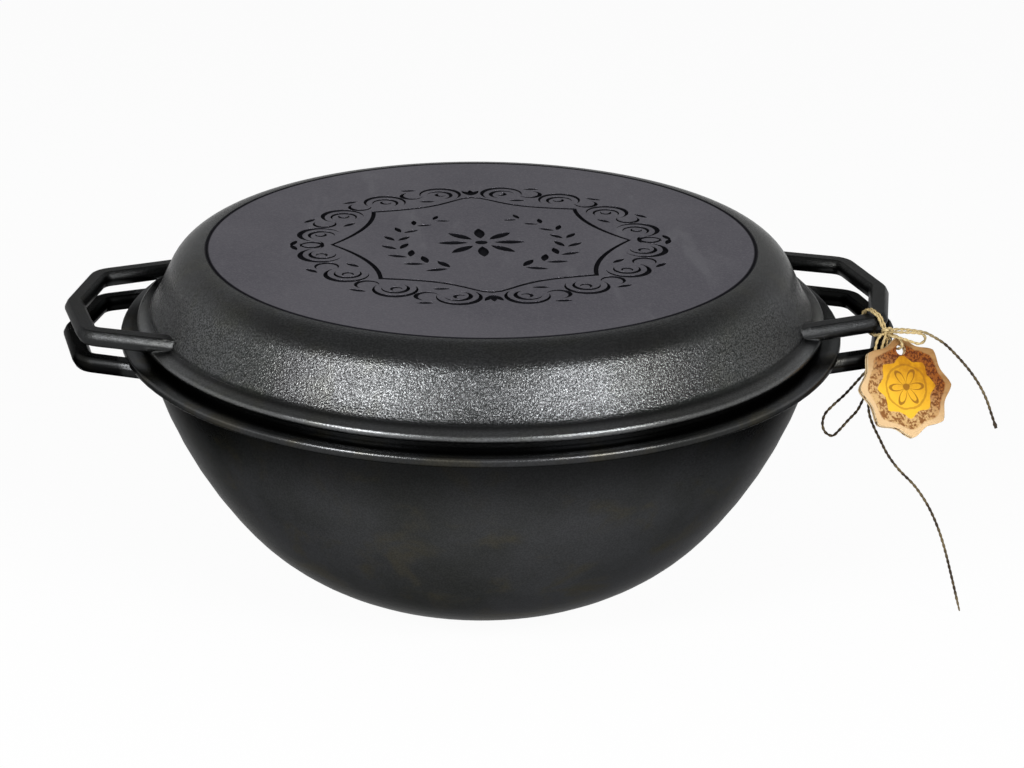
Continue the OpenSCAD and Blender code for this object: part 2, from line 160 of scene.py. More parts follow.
# Roughness of the iron, and how much rougher its top, bars, lower side and carving are
IRON_ROUGH = (0.22, 0.27)
TOP_ROUGHER = 0.17
BARS_ROUGHER = 0.08
SIDE_ROUGHER = 0.13
CARVING_ROUGHER = 0.3

# Noises per metre: clouds, stains, dust, rubbed streaks with their turn in radians, grains,
# pebbles and pits in the iron, patches in the twine, and the tag's flecks, blots, wobble,
# scorching and grain of the wood
CLOUDS = 11
STAINS = 38
DUST = 1100
STREAKS = (60, 14, 14)
STREAKS_TURN = 0.5
GRAINS = 1350
PEBBLES = 1050
PITS = 2200
PATCHES = 130
FLECKS = 900
BLOTS = 260
WOBBLES = 320
SCORCHES = 420
WOOD_GRAIN = (60, 420, 60)

# Twine: its colours, how far from the knot the straw gives way to brown, and its fibres, drawn
# out along it, with their depth
STRAW_DARK = (0.30, 0.20, 0.075, 1)
STRAW_LIGHT = (0.70, 0.57, 0.30, 1)
BROWN_DARK = (0.011, 0.007, 0.003, 1)
BROWN_LIGHT = (0.045, 0.028, 0.013, 1)
STRAW_ENDS = (11 * MM, 26 * MM)
FIBRES = 3.0
FIBRES_DRAWN = (0.35, 9, 1)
FIBRE_DEPTH = 0.1 * MM
TWINE_ROUGH = 0.85
TWINE_IOR = 1.4

# Twine: its routes in millimetres, as in part.scad, and the two strands that it is laid from
TWINE_D = 1.4 * MM
WRAP_WAY = math.radians(34)
WRAP_GAP = 0.1
KNOT_AT = (186.5, -42, 138)
WRAP_ROUTE = [
    (185.8, -39.1, 139.7), (184.8, -38.3, 142), (183.6, -37.2, 144.4), (182, -35, 145.4),
    (180.1, -31.3, 145.7), (178.4, -28.3, 143.5), (178.2, -27.8, 139.8), (179, -28.8, 136.3),
    (180.8, -32, 134.8), (182.8, -36, 134.8), (185.3, -39.3, 136.4)]
EYE_ROUTE = [
    (189.6, -43.2, 137), (191.5, -44.6, 136.5), (192.5, -45.7, 134.9), (192.9, -46.1, 133.1),
    (192.4, -45, 131.6), (191.7, -43.5, 130.6), (190.9, -41.8, 130.2), (189.8, -40.7, 131.5),
    (188.6, -40.5, 133.3), (187.7, -41.3, 134.9)]
BOW_LEFT_ROUTE = [
    (183.4, -43, 137.1), (181.4, -44.6, 134.8), (180.2, -46.6, 129.2), (179, -48.2, 126),
    (177, -48.8, 122.5), (173.3, -48.4, 117.3), (167.8, -47.2, 109.6), (162.5, -47, 104),
    (159, -47, 99.6), (158.1, -47, 94.6), (159.6, -47, 90.5), (163, -47.2, 88.7),
    (165.8, -47.4, 91.3), (170, -48, 97), (173.6, -48.8, 102), (176, -49.3, 108),
    (179, -49, 115), (181.4, -48, 121.5), (183.2, -45.8, 128), (184.1, -43.9, 131.8),
    (184.9, -44.2, 135.9)]
BOW_RIGHT_ROUTE = [
    (188.2, -44.7, 139.3), (190.4, -47, 140), (194, -48.2, 140.3), (198, -48.5, 140.2),
    (201.2, -48.5, 139.6), (202.8, -48.5, 137.8), (202.2, -48.4, 135.8), (200, -48.3, 134.8),
    (196.5, -48.2, 135.8), (192, -47.6, 137.2), (187.9, -45, 137.3)]
TAIL_SHORT_ROUTE = [
    (189, -42.6, 139.8), (191, -43.6, 140.2), (194, -45, 140.6), (198.5, -45.9, 140.3),
    (203, -46, 139.4), (207, -46, 137.4), (212.8, -46, 133.6), (219.4, -46, 127.2),
    (226, -46, 119.6), (231, -46, 112.4), (234.6, -46, 105.6), (237.4, -46, 98.6),
    (240.2, -46, 91.5)]
TAIL_LONG_ROUTE = [
    (186.5, -42.6, 134.8), (186.4, -42.3, 131.4), (186.2, -43.9, 129), (185.8, -45.8, 126),
    (183.6, -48.4, 120), (180.6, -50.8, 114), (178.2, -52, 108), (178.6, -52.2, 102),
    (180.8, -52.4, 96), (184.2, -52.8, 89.4), (188.4, -53.2, 81.6), (194, -53.8, 74.2),
    (202, -54.6, 66), (208.6, -55.6, 56.6), (213.6, -56.6, 46.6), (217.6, -57.6, 36),
    (221.8, -58.6, 22), (227.2, -59.8, 3)]
TWINE_STEP = 0.45 * MM
TWINE_SIDES = 16
TWINE_PITCH = 5.6 * MM
STRAND_OFF = 0.36
STRAND_R = 0.64

# The knot: a trefoil's size in millimetres, its depth and steps, and how far out from its middle
# the runs begin, as a share of the way to their first point
TREFOIL_SIZE = 0.82
TREFOIL_DEPTH = 1.35
TREFOIL_STEPS = 110
RUN_BEGINS = 0.55

# The tails' ends, along the tail from 0 to 1: the short one's knob and the long one's fraying
KNOB_SWELL = 0.75
KNOB_AT = 0.982
KNOB_HALF = 0.011
FRAY_THINS = 0.45
FRAY_AT = 0.96

# Tag: its place, how it hangs and its outline, as in part.scad
TAG_AT = Vector((194, -54, 115.4)) * MM
TAG_FACING = math.radians(21)
TAG_LEAN = math.radians(32)
TAG_ROLL = math.radians(-5)
TAG_R = 23.8 * MM
TAG_HOLLOW = 3.2 * MM
TAG_SHAPE = 1.4
TAG_POINTS = 8
TAG_T = 3 * MM
TAG_HOLE_R = 2.5 * MM
TAG_HOLE_OUT = 17.6 * MM
TAG_STEPS = 192
TAG_HOLE_STEPS = 40
TAG_BEVEL = 0.3 * MM
TAG_BEVEL_ANGLE = math.radians(50)

# The tag's print: radii of the star and of the burnt ring, the depth of their hollows and the
# softness of their outlines, how far the lines wobble, and the rosette, seed and hoop in the star
STAR_R = 15.0 * MM
STAR_HOLLOW = 2.4 * MM
STAR_FADE = 0.25 * MM
RING_R = 20.2 * MM
RING_HOLLOW = 1.6 * MM
RING_FADE = 0.5 * MM
WOBBLE = 0.35 * MM
PETAL_R = 8.6 * MM
PETAL_PAIRS = 3
PETAL_LINE = (0.5 * MM, 1.1 * MM)
SEED_R = (1.4 * MM, 1.9 * MM)
HOOP_R = 10.4 * MM
HOOP_LINE = (0.3 * MM, 0.7 * MM)
HOOP_SHARE = 0.6
MOTIF_SHARE = 0.75

# Across the tag's thickness: where the front's print begins, where the bare back ends, and how far
# from the middle the dark ply gives way to the pale ones
FRONT_BEGINS = (TAG_T / 2 - 0.25 * MM, TAG_T / 2 - 0.1 * MM)
BACK_ENDS = (-TAG_T / 2 + 0.2 * MM, -TAG_T / 2 + 0.35 * MM)
DARK_PLY_ENDS = (0.35 * MM, 0.6 * MM)
FLECK_DEPTH = 0.15 * MM
WOOD_ROUGH = 0.62
WOOD_IOR = 1.22

# The tag's colours: of the wood, the burnt ring and the gold, darker and lighter, and paler ones
# towards the print's lower left, painted light where light falls, on the ring also worn print
WOOD_DARK = (0.23, 0.115, 0.038, 1)
WOOD_LIGHT = (0.37, 0.205, 0.075, 1)
WOOD_LIT = (0.66, 0.46, 0.25, 1)
BURNT_DARK = (0.070, 0.013, 0.001, 1)
BURNT_LIGHT = (0.22, 0.062, 0.006, 1)
LIT_WORN_RING_DARK = (0.21, 0.085, 0.022, 1)
LIT_WORN_RING_LIGHT = (0.58, 0.38, 0.165, 1)
GOLD_DARK = (0.34, 0.135, 0.001, 1)
GOLD_LIGHT = (0.47, 0.215, 0.002, 1)
GOLD_LIT = (0.80, 0.45, 0.030, 1)
MOTIF_BROWN = (0.15, 0.048, 0.004, 1)
PLY_DARK = (0.42, 0.24, 0.10, 1)
PLY_LIGHT = (0.84, 0.68, 0.42, 1)
SCORCH = (0.10, 0.05, 0.02, 1)
LIT_WAY = (-0.55, -0.83)
LIT_SPAN = 13 * MM
LIT_SHARE = 0.85


def link(obj):
    """Puts an object in the scene."""
    bpy.context.scene.collection.objects.link(obj)
    return obj


def turns(count):
    """Angles that go once round in equal steps."""
    return [2 * math.pi * i / count for i in range(count)]


def make_camera():
    """The photograph's camera, aimed at the wok from its estimated place."""
    level = Vector((math.cos(VIEW_TURN), -math.sin(VIEW_TURN), 0))
    back = Vector((-math.cos(VIEW_ELEVATION) * math.sin(VIEW_TURN),
                   -math.cos(VIEW_ELEVATION) * math.cos(VIEW_TURN), math.sin(VIEW_ELEVATION)))
    upright = back.cross(level)
    right = math.cos(VIEW_ROLL) * level + math.sin(VIEW_ROLL) * upright
    up = math.cos(VIEW_ROLL) * upright - math.sin(VIEW_ROLL) * level
    camera = link(bpy.data.objects.new("camera", bpy.data.cameras.new("camera")))
    turn = Matrix((right, up, back)).transposed().to_4x4()
    camera.matrix_world = Matrix.Translation(VIEW_TARGET + back * VIEW_DISTANCE) @ turn
    camera.data.lens = VIEW_LENS
    camera.data.shift_x, camera.data.shift_y = VIEW_SHIFT
    camera.data.clip_start, camera.data.clip_end = VIEW_CLIP
    bpy.context.scene.camera = camera


class Nodes:
    """The node tree of a material or a world, with short ways to add and join nodes."""

    def __init__(self, owner, output):
        owner.use_nodes = True
        self.owner = owner
        self.tree = owner.node_tree
        self.tree.nodes.clear()
        self.output = self.tree.nodes.new(output)

    def set(self, socket, value):
        """Joins a socket to another one, or gives it a plain value."""
        if isinstance(value, bpy.types.NodeSocket):
            self.tree.links.new(value, socket)
        else:
            socket.default_value = value

    def add(self, kind, out=0, inputs=None, **settings):
        node = self.tree.nodes.new(kind)
        for key, value in settings.items():
            setattr(node, key, value)
        for key, value in (inputs or {}).items():
            self.set(node.inputs[key], value)
        return node.outputs[out]

    def math(self, operation, a, b=0.0, c=0.0, clamp=False):
        return self.add("ShaderNodeMath", 0, {0: a, 1: b, 2: c}, operation=operation, use_clamp=clamp)

    def split(self, vector):
        """The three parts of a vector."""
        return self.add("ShaderNodeSeparateXYZ", 0, {0: vector}).node.outputs

    def flat_radius(self, where):
        """Distance from the Z axis."""
        flat = self.add("ShaderNodeVectorMath", 0, {0: where, 1: (1, 1, 0)}, operation="MULTIPLY")
        return self.add("ShaderNodeVectorMath", "Value", {0: flat}, operation="LENGTH")

    def stretched(self, where, scale, turn=0.0):
        return self.add("ShaderNodeMapping", 0, {"Vector": where, "Scale": scale,
                        "Rotation": (0, 0, turn)})

    def ramp(self, value, low, high, to_low=0.0, to_high=1.0, kind="SMOOTHSTEP"):
        return self.add("ShaderNodeMapRange", 0, {"Value": value, "From Min": low, "From Max": high,
                        "To Min": to_low, "To Max": to_high}, interpolation_type=kind)

    def fade(self, mask, off, on):
        """A straight change from off, where the mask is 0, to on, where it is 1."""
        return self.ramp(mask, 0.0, 1.0, off, on, "LINEAR")

    def band(self, value, at, fades, low):
        """Low where the value lies near a level, 1 where it is far from it."""
        off = self.math("ABSOLUTE", self.math("SUBTRACT", value, at))
        return self.ramp(off, *fades, low, 1.0)

    def mix(self, factor, a, b, blend="MIX"):
        node = self.tree.nodes.new("ShaderNodeMix")
        node.data_type = "RGBA"
        node.blend_type = blend
        self.set(node.inputs[0], factor)
        self.set(node.inputs[6], a)
        self.set(node.inputs[7], b)
        return node.outputs[2]

    def blend(self, value, low, high, a, b, most=1.0):
        """Colour a below the low value, turning to b, or to a share of it, above the high one."""
        return self.mix(self.ramp(value, low, high, 0.0, most), a, b)

    def noise(self, where, scale, detail=2.0, rough=0.5, distortion=0.0):
        return self.add("ShaderNodeTexNoise", 0, {"Vector": where, "Scale": scale, "Detail": detail,
                        "Roughness": rough, "Distortion": distortion})

    def finish(self, shader):
        self.tree.links.new(shader, self.output.inputs["Surface"])
        return self.owner


def material_nodes(name):
    """The empty node tree of a new material."""
    return Nodes(bpy.data.materials.new(name), "ShaderNodeOutputMaterial")


def top_masks(n, height, flat_r):
    """Where the lid's flat top is, and where the carving and the edge line are, for their painted shade
    and roughness.
    """
    level = n.ramp(height, *TOP_BEGINS)
    top = n.math("MULTIPLY", level, n.ramp(flat_r, *TOP_ENDS, 1.0, 0.0))
    carved = n.math("MULTIPLY", n.ramp(height, *CARVING_ENDS, 1.0, 0.0), top)
    off_line = n.band(flat_r, EDGE_LINE_R, EDGE_LINE_FADES, EDGE_LINE_THROUGH)
    edge_line = n.math("MULTIPLY", n.math("SUBTRACT", 1.0, off_line), level)
    return top, n.math("MAXIMUM", carved, edge_line)


def handle_mask(n, x, height, flat_r, flange_edge_r):
    """Where the handles' bars are, by their place and by the way that their faces look."""
    facing = n.split(n.add("ShaderNodeNewGeometry", "Normal"))
    sideways = n.ramp(n.math("ABSOLUTE", facing["Y"]), *BAR_FACING)
    on_side = n.math("MULTIPLY", n.ramp(n.math("ABSOLUTE", x), *BAR_ROOTS), sideways)
    on_bar = n.math("MAXIMUM", on_side, n.ramp(facing["Z"], *BAR_FACING))
    on_bar = n.math("MULTIPLY", on_bar, n.ramp(height, *BARS_END, 1.0, 0.0))
    on_bar = n.math("MAXIMUM", on_bar, n.ramp(flat_r, flange_edge_r, flange_edge_r + WEAR_AND_SHEEN_FULL))
    on_bar = n.math("MULTIPLY", on_bar, n.ramp(height, *BARS_BEGIN))
    past_flange = n.ramp(n.math("SUBTRACT", flat_r, flange_edge_r), *PAST_FLANGE)
    return n.math("MAXIMUM", on_bar, past_flange)


def pebble_share(n, height, handle):
    """How strong the pebbles are: most on the lid's wall, less on the rest and on the handles."""
    share = n.math("MULTIPLY", n.ramp(height, *PEBBLES_BEGIN, LOWER_PEBBLES, 1.0),
                   n.ramp(height, *SHOULDER_SMOOTHS, 1.0, SHOULDER_PEBBLES))
    return n.math("MULTIPLY", share, n.ramp(handle, 0.0, 1.0, 1.0, BAR_PEBBLES))


def wall_colour(n, where, cloud, height, flat_r, handle, share, look):
    """Stained iron with painted shade up the bowl's side, on its flange's face, in the gap and creases,
    and flange edges brighter from rubbed wear and painted highlight.
    """
    wall = n.blend(cloud, 0.36, 0.64, look["dark"], look["light"])
    wall = n.blend(n.noise(where, STAINS, 4, 0.6, 0.5), 0.50, 0.72, wall, look["stain"], STAIN_MOST)
    # Painted shade up the bowl's side, darkest just under its flange
    side = n.ramp(height, *SHADE_UNDER_FLANGE_SPAN, 1.0, SHADE_UNDER_FLANGE)
    side = n.math("MAXIMUM", side, n.ramp(height, *SHADE_UNDER_FLANGE_ENDS))
    # Flange edges brighter, partly rubbed wear and partly painted highlight, none on the handles
    wear_and_sheen_gain = n.fade(handle, EDGE_WEAR_AND_SHEEN, 1.0)
    flange_edge_r = look["flange_edge_r"]
    edge_wear_and_sheen = n.ramp(flat_r, flange_edge_r - WEAR_AND_SHEEN_BEGINS, flange_edge_r + WEAR_AND_SHEEN_FULL, 1.0, wear_and_sheen_gain)
    # Painted shade on the bowl flange's outer face and in the crease over the lid's flange, none on the
    # handles
    off_handle = n.fade(handle, CREASE_SHADE, 1.0)
    flange_face = n.band(height, FLANGE_FACE_Z, FLANGE_FACE_FADES, off_handle)
    crease = n.band(height, CREASE_Z, CREASE_FADES, off_handle)
    # Painted shade in the gap between the flanges
    gap = n.band(height, GAP_Z, GAP_FADES, look["gap_shade"])
    grains = n.ramp(n.noise(where, GRAINS, 1, 0.5), 0.36, 0.66, -GRAIN_DARKER * look["pebbles"],
                    GRAIN_BRIGHTER * look["pebbles"])
    grains = n.math("MULTIPLY_ADD", grains, share, 1.0)
    bars = n.fade(handle, 1.0, BAR_SHADE)
    for factor in (side, edge_wear_and_sheen, bars, flange_face, crease, gap, grains):
        wall = n.mix(1.0, wall, factor, "MULTIPLY")
    return wall


def top_colour(n, where, cloud):
    """The lid's flat top: violet-grey, with rubbed streaks and dust."""
    streaks = n.noise(n.stretched(where, STREAKS, STREAKS_TURN), 1.0, 3, 0.6, 0.4)
    dust = n.noise(where, DUST, 2, 0.7)
    face = n.blend(cloud, 0.34, 0.68, TOP_DARK, TOP_LIGHT)
    face = n.blend(streaks, 0.56, 0.75, face, TOP_RUBBED, RUBBED_MOST)
    return n.blend(dust, 0.40, 0.75, face, TOP_DUST, DUST_MOST)


def iron_roughness(n, cloud, top, groove, handle, height):
    """Uneven baked oil, glossiest on the lid's wall and on the flanges."""
    rough = n.ramp(cloud, 0.3, 0.7, *IRON_ROUGH)
    rough = n.math("MULTIPLY_ADD", top, TOP_ROUGHER, rough)
    rough = n.math("MULTIPLY_ADD", handle, BARS_ROUGHER, rough)
    rough = n.math("ADD", rough, n.ramp(height, *ROUGH_SIDE_ENDS, SIDE_ROUGHER, 0.0))
    return n.math("MULTIPLY_ADD", groove, CARVING_ROUGHER, rough, clamp=True)


def iron_relief(n, where, top, share, look):
    """Softened edges with the pebbles and pits of the sand on them."""
    pits = n.noise(where, PITS, 1, 0.5)
    relief = n.math("ADD", n.noise(where, PEBBLES, 2, 0.6), n.math("MULTIPLY", pits, PIT_SHARE))
    strength = n.fade(top, n.math("MULTIPLY", share, look["pebbles"]), TOP_RELIEF)
    soft_r = n.math("MULTIPLY_ADD", top, TOP_SOFT_EDGE - look["soft_edge"], look["soft_edge"])
    soft = n.add("ShaderNodeBevel", 0, {"Radius": soft_r}, samples=4)
    return n.add("ShaderNodeBump", 0, {"Strength": strength, "Distance": PEBBLE_DEPTH,
                 "Height": relief, "Normal": soft})


def iron(name, look):
    """Sand-cast iron under baked oil: pebbled walls, a finer violet-grey top, painted shade in the
    carving.
    """
    n = material_nodes(name)
    where = n.add("ShaderNodeTexCoord", "Object")
    x, _, height = n.split(where)
    flat_r = n.flat_radius(where)
    cloud = n.noise(where, CLOUDS, 4, 0.6)
    top, groove = top_masks(n, height, flat_r)
    handle = handle_mask(n, x, height, flat_r, look["flange_edge_r"])
    share = pebble_share(n, height, handle)
    wall = wall_colour(n, where, cloud, height, flat_r, handle, share, look)
    colour = n.mix(top, wall, top_colour(n, where, cloud))
    # Painted shade in the carving and in the edge line's groove
    colour = n.mix(groove, colour, CARVING_PAINTED_SHADE)
    rough = iron_roughness(n, cloud, top, groove, handle, height)
    shader = n.add("ShaderNodeBsdfPrincipled", 0, {"Base Color": colour, "Metallic": 1.0,
                   "Roughness": rough, "Specular Tint": look["edge_tint"],
                   "Normal": iron_relief(n, where, top, share, look)})
    return n.finish(shader)


def twine_fibre():
    """Undyed twine: straw-coloured round the knot, browner in the bow and the tails."""
    n = material_nodes("twine_fibre")
    where = n.add("ShaderNodeTexCoord", "Object")
    away = n.add("ShaderNodeVectorMath", "Value", {0: where, 1: Vector(KNOT_AT) * MM},
                 operation="DISTANCE")
    along = n.stretched(n.add("ShaderNodeTexCoord", "UV"), FIBRES_DRAWN)
    fibres = n.noise(along, FIBRES, 3, 0.6)
    patch = n.noise(where, PATCHES, 2, 0.5)
    straw = n.blend(fibres, 0.35, 0.7, STRAW_DARK, STRAW_LIGHT)
    brown = n.blend(fibres, 0.35, 0.7, BROWN_DARK, BROWN_LIGHT)
    far = n.math("ADD", n.ramp(away, *STRAW_ENDS), n.ramp(patch, 0.35, 0.7, -0.2, 0.2), clamp=True)
    normal = n.add("ShaderNodeBump", 0, {"Strength": 0.5, "Distance": FIBRE_DEPTH, "Height": fibres})
    shader = n.add("ShaderNodeBsdfPrincipled", 0, {"Base Color": n.mix(far, straw, brown),
                   "Roughness": TWINE_ROUGH, "IOR": TWINE_IOR, "Normal": normal})
    return n.finish(shader)


def inside_wave(n, flat_r, swing, radius, hollow, fade):
    """1 inside a wavy outline of that radius and depth of its hollows, 0 outside."""
    outline = n.math("SUBTRACT", radius, n.math("MULTIPLY", swing, hollow))
    return n.ramp(n.math("SUBTRACT", flat_r, outline), -fade, fade, 1.0, 0.0)


def star_motif(n, flat_r, angle):
    """Outlined petals round a seed, in a fainter hoop."""
    petal_r = n.math("ABSOLUTE", n.math("COSINE", n.math("MULTIPLY", angle, PETAL_PAIRS)))
    petal_r = n.math("MULTIPLY", petal_r, PETAL_R)
    off_petal = n.math("ABSOLUTE", n.math("SUBTRACT", flat_r, petal_r))
    petals = n.ramp(off_petal, *PETAL_LINE, 1.0, 0.0)
    seed = n.ramp(flat_r, *SEED_R, 1.0, 0.0)
    off_hoop = n.math("ABSOLUTE", n.math("SUBTRACT", flat_r, HOOP_R))
    hoop = n.ramp(off_hoop, *HOOP_LINE, 1.0, 0.0)
    return n.math("MAXIMUM", n.math("MAXIMUM", petals, seed), n.math("MULTIPLY", hoop, HOOP_SHARE))


def bare_wood(n, where, lit):
    """Tan wood with its grain, paler where light falls."""
    streak = n.noise(n.stretched(where, WOOD_GRAIN), 1.0, 3)
    tan = n.blend(streak, 0.3, 0.7, WOOD_DARK, WOOD_LIGHT, 0.6)
    return n.mix(lit, tan, WOOD_LIT)


def burnt_ring(n, blot, fleck, lit):
    """Flecked brown print, paler in patches where painted light falls, partly painted light and partly
    worn print.
    """
    burnt = n.blend(fleck, 0.40, 0.60, BURNT_DARK, BURNT_LIGHT)
    patch = n.math("ADD", n.math("MULTIPLY", blot, 0.5), n.math("MULTIPLY", fleck, 0.5))
    return n.mix(lit, burnt, n.blend(patch, 0.44, 0.56, LIT_WORN_RING_DARK, LIT_WORN_RING_LIGHT))


def golden_star(n, flat_r, angle, blot, lit):
    """Blotchy gold with the rosette and its hoop."""
    gold = n.blend(blot, 0.35, 0.65, GOLD_DARK, GOLD_LIGHT)
    gold = n.mix(lit, gold, GOLD_LIT)
    motif = n.math("MULTIPLY", star_motif(n, flat_r, angle), MOTIF_SHARE)
    return n.mix(motif, gold, MOTIF_BROWN)


def tag_edge(n, where, z):
    """The sawn edge: a dark ply between two pale ones, scorched here and there."""
    edge = n.blend(n.math("ABSOLUTE", z), *DARK_PLY_ENDS, PLY_DARK, PLY_LIGHT)
    return n.blend(n.noise(where, SCORCHES, 2), 0.54, 0.66, edge, SCORCH)


def printed_wood():
    """The tag: tan wood, a burnt brown ring with a wavy edge and a golden star with a rosette."""
    n = material_nodes("printed_wood")
    where = n.add("ShaderNodeTexCoord", "Object")
    x, y, z = n.split(where)
    angle = n.math("ARCTAN2", y, x)
    wobble = n.ramp(n.noise(where, WOBBLES, 2), 0.3, 0.7, -WOBBLE, WOBBLE, "LINEAR")
    flat_r = n.math("ADD", n.flat_radius(where), wobble)
    swing = n.math("ABSOLUTE", n.math("SINE", n.math("MULTIPLY", angle, TAG_POINTS / 2)))
    swing = n.math("POWER", swing, TAG_SHAPE)
    in_star = inside_wave(n, flat_r, swing, STAR_R, STAR_HOLLOW, STAR_FADE)
    in_ring = inside_wave(n, flat_r, swing, RING_R, RING_HOLLOW, RING_FADE)
    fleck = n.noise(where, FLECKS, 2, 0.6)
    blot = n.noise(where, BLOTS, 3, 0.6)
    # Painted light, strongest towards the print's lower left
    lit = n.math("ADD", n.math("MULTIPLY", x, LIT_WAY[0]), n.math("MULTIPLY", y, LIT_WAY[1]))
    lit = n.math("MULTIPLY", n.ramp(lit, -LIT_SPAN, LIT_SPAN), LIT_SHARE)
    tan = bare_wood(n, where, lit)
    printed = n.mix(in_star, burnt_ring(n, blot, fleck, lit), golden_star(n, flat_r, angle, blot, lit))
    printed = n.mix(in_ring, tan, printed)
    front = n.ramp(z, *FRONT_BEGINS)
    back = n.ramp(z, *BACK_ENDS, 1.0, 0.0)
    faces = n.mix(front, tan, printed)
    colour = n.mix(n.math("MAXIMUM", front, back), tag_edge(n, where, z), faces)
    normal = n.add("ShaderNodeBump", 0, {"Strength": 0.5, "Distance": FLECK_DEPTH, "Height": fleck})
    shader = n.add("ShaderNodeBsdfPrincipled", 0, {"Base Color": colour, "Roughness": WOOD_ROUGH,
                   "IOR": WOOD_IOR, "Normal": normal})
    return n.finish(shader)


def new_piece(name, mesh):
    """An object of the drawn mesh, which is freed."""
    data = bpy.data.meshes.new(name)
    mesh.to_mesh(data)
    mesh.free()
    return link(bpy.data.objects.new(name, data))


def smooth_route(points, step):
    """Points about a step apart on a smooth curve through the given ones, in metres."""
    pts = [Vector(p) * MM for p in points]
    pts = [2 * pts[0] - pts[1]] + pts + [2 * pts[-1] - pts[-2]]
    out = []
    for a, b, c, d in zip(pts, pts[1:], pts[2:], pts[3:]):
        count = max(1, round((c - b).length / step))
        for i in range(count):
            t = i / count
            out.append(0.5 * (2 * b + (c - a) * t + (2 * a - 5 * b + 4 * c - d) * t * t
                              + (3 * b - a - 3 * c + d) * t * t * t))
    out.append(pts[-2])
    return out


def strand_radius(angle):
    """How far two strands laid side by side reach at an angle, as a share of the twine's radius."""
    across = STRAND_OFF * math.sin(angle)
    return STRAND_OFF * abs(math.cos(angle)) + math.sqrt(STRAND_R ** 2 - across ** 2)


def laid_tube(name, path, swell=None, closed=False):
    """A mesh of two twisted strands along a path, with its length and turn as UVs."""
    count = len(path)
    mesh = bmesh.new()
    uv = mesh.loops.layers.uv.new("UVMap")
    rings = []
    way = []
    side = (path[1] - path[0]).orthogonal().normalized()
    travelled = 0.0
    for i, p in enumerate(path):
        ahead = path[(i + 1) % count] if closed else path[min(i + 1, count - 1)]
        behind = path[i - 1] if closed or i else path[0]
        along = (ahead - behind).normalized()
        side = (side - along * side.dot(along)).normalized()
        over = along.cross(side)
        travelled += (p - path[i - 1]).length if i else 0
        twist = 2 * math.pi * travelled / TWINE_PITCH
        radius = TWINE_D / 2 * (swell(i / (count - 1)) if swell else 1)
        rings.append([mesh.verts.new(p + radius * strand_radius(a - twist)
                                     * (math.cos(a) * side + math.sin(a) * over))
                      for a in turns(TWINE_SIDES)])
        way.append(travelled)
    for i in range(count if closed else count - 1):
        j = (i + 1) % count
        for k in range(TWINE_SIDES):
            m = (k + 1) % TWINE_SIDES
            face = mesh.faces.new((rings[i][k], rings[i][m], rings[j][m], rings[j][k]))
            face.smooth = True
            for loop, (r, s) in zip(face.loops, ((i, k), (i, k + 1), (j, k + 1), (j, k))):
                loop[uv].uv = (way[r] / TWINE_D, s / TWINE_SIDES - way[r] / TWINE_PITCH)
    if not closed:
        mesh.faces.new(rings[0][::-1])
        mesh.faces.new(rings[-1])
    return new_piece(name, mesh)


def into_knot(route, start=True, end=True):
    """The route with a point inside the knot before or after it, so that it runs into the knot."""
    knot = Vector(KNOT_AT)
    inner = [tuple(knot + (Vector(p) - knot) * RUN_BEGINS) for p in (route[0], route[-1])]
    return [inner[0]] * start + list(route) + [inner[1]] * end


def trefoil():
    """The closed path of the twine in the knot."""
    path = []
    for t in turns(TREFOIL_STEPS):
        loop = Vector((math.sin(t) + 2 * math.sin(2 * t), -TREFOIL_DEPTH * math.sin(3 * t),
                       math.cos(t) - 2 * math.cos(2 * t)))
        path.append(Vector(KNOT_AT) * MM + loop * TREFOIL_SIZE * MM)
    return path


def swelling_end(t):
    """The short tail's end is tied into a small knob."""
    return 1 + KNOB_SWELL * math.exp(-((t - KNOB_AT) / KNOB_HALF) ** 2)


def fraying_end(t):
    """The long tail thins out at its end."""
    return 1 - FRAY_THINS * max(0.0, (t - FRAY_AT) / (1 - FRAY_AT))


def lay_cord(name, route, nodes, material, swell=None):
    """One run of the twine, which leaves the knot."""
    path = smooth_route(route, TWINE_STEP)
    piece = laid_tube(name, path, swell)
    piece.data.materials.append(material)
    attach(piece, "root")
    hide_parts(*nodes)


def make_twine(material):
    """Two wraps round the lid's bar, the eye that holds the tag, two bows and two tails."""
    knot = laid_tube("knot_of_twine", trefoil(), closed=True)
    beside = Vector((math.cos(WRAP_WAY), math.sin(WRAP_WAY), 0)) * (TWINE_D / MM + WRAP_GAP)
    inner_wrap = [tuple(Vector(p) - beside) for p in WRAP_ROUTE]
    wrap_and_eye = into_knot(inner_wrap, end=False) + [KNOT_AT] + into_knot(EYE_ROUTE, start=False)
    lay_cord("outer_wrap", into_knot(WRAP_ROUTE), ["twine_wrap_outer"], material)
    lay_cord("inner_wrap_and_eye", wrap_and_eye, ["twine_wrap_inner", "twine_eye"], material)
    lay_cord("left_bow", into_knot(BOW_LEFT_ROUTE), ["twine_bow_left"], material)
    lay_cord("right_bow", into_knot(BOW_RIGHT_ROUTE), ["twine_bow_right"], material)
    lay_cord("short_tail", into_knot(TAIL_SHORT_ROUTE, end=False), ["twine_tail_short"], material,
             swelling_end)
    lay_cord("long_tail", into_knot(TAIL_LONG_ROUTE, end=False), ["twine_tail_long"], material,
             fraying_end)
    knot.data.materials.append(material)
    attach(knot, "root")
    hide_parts("twine_knot")


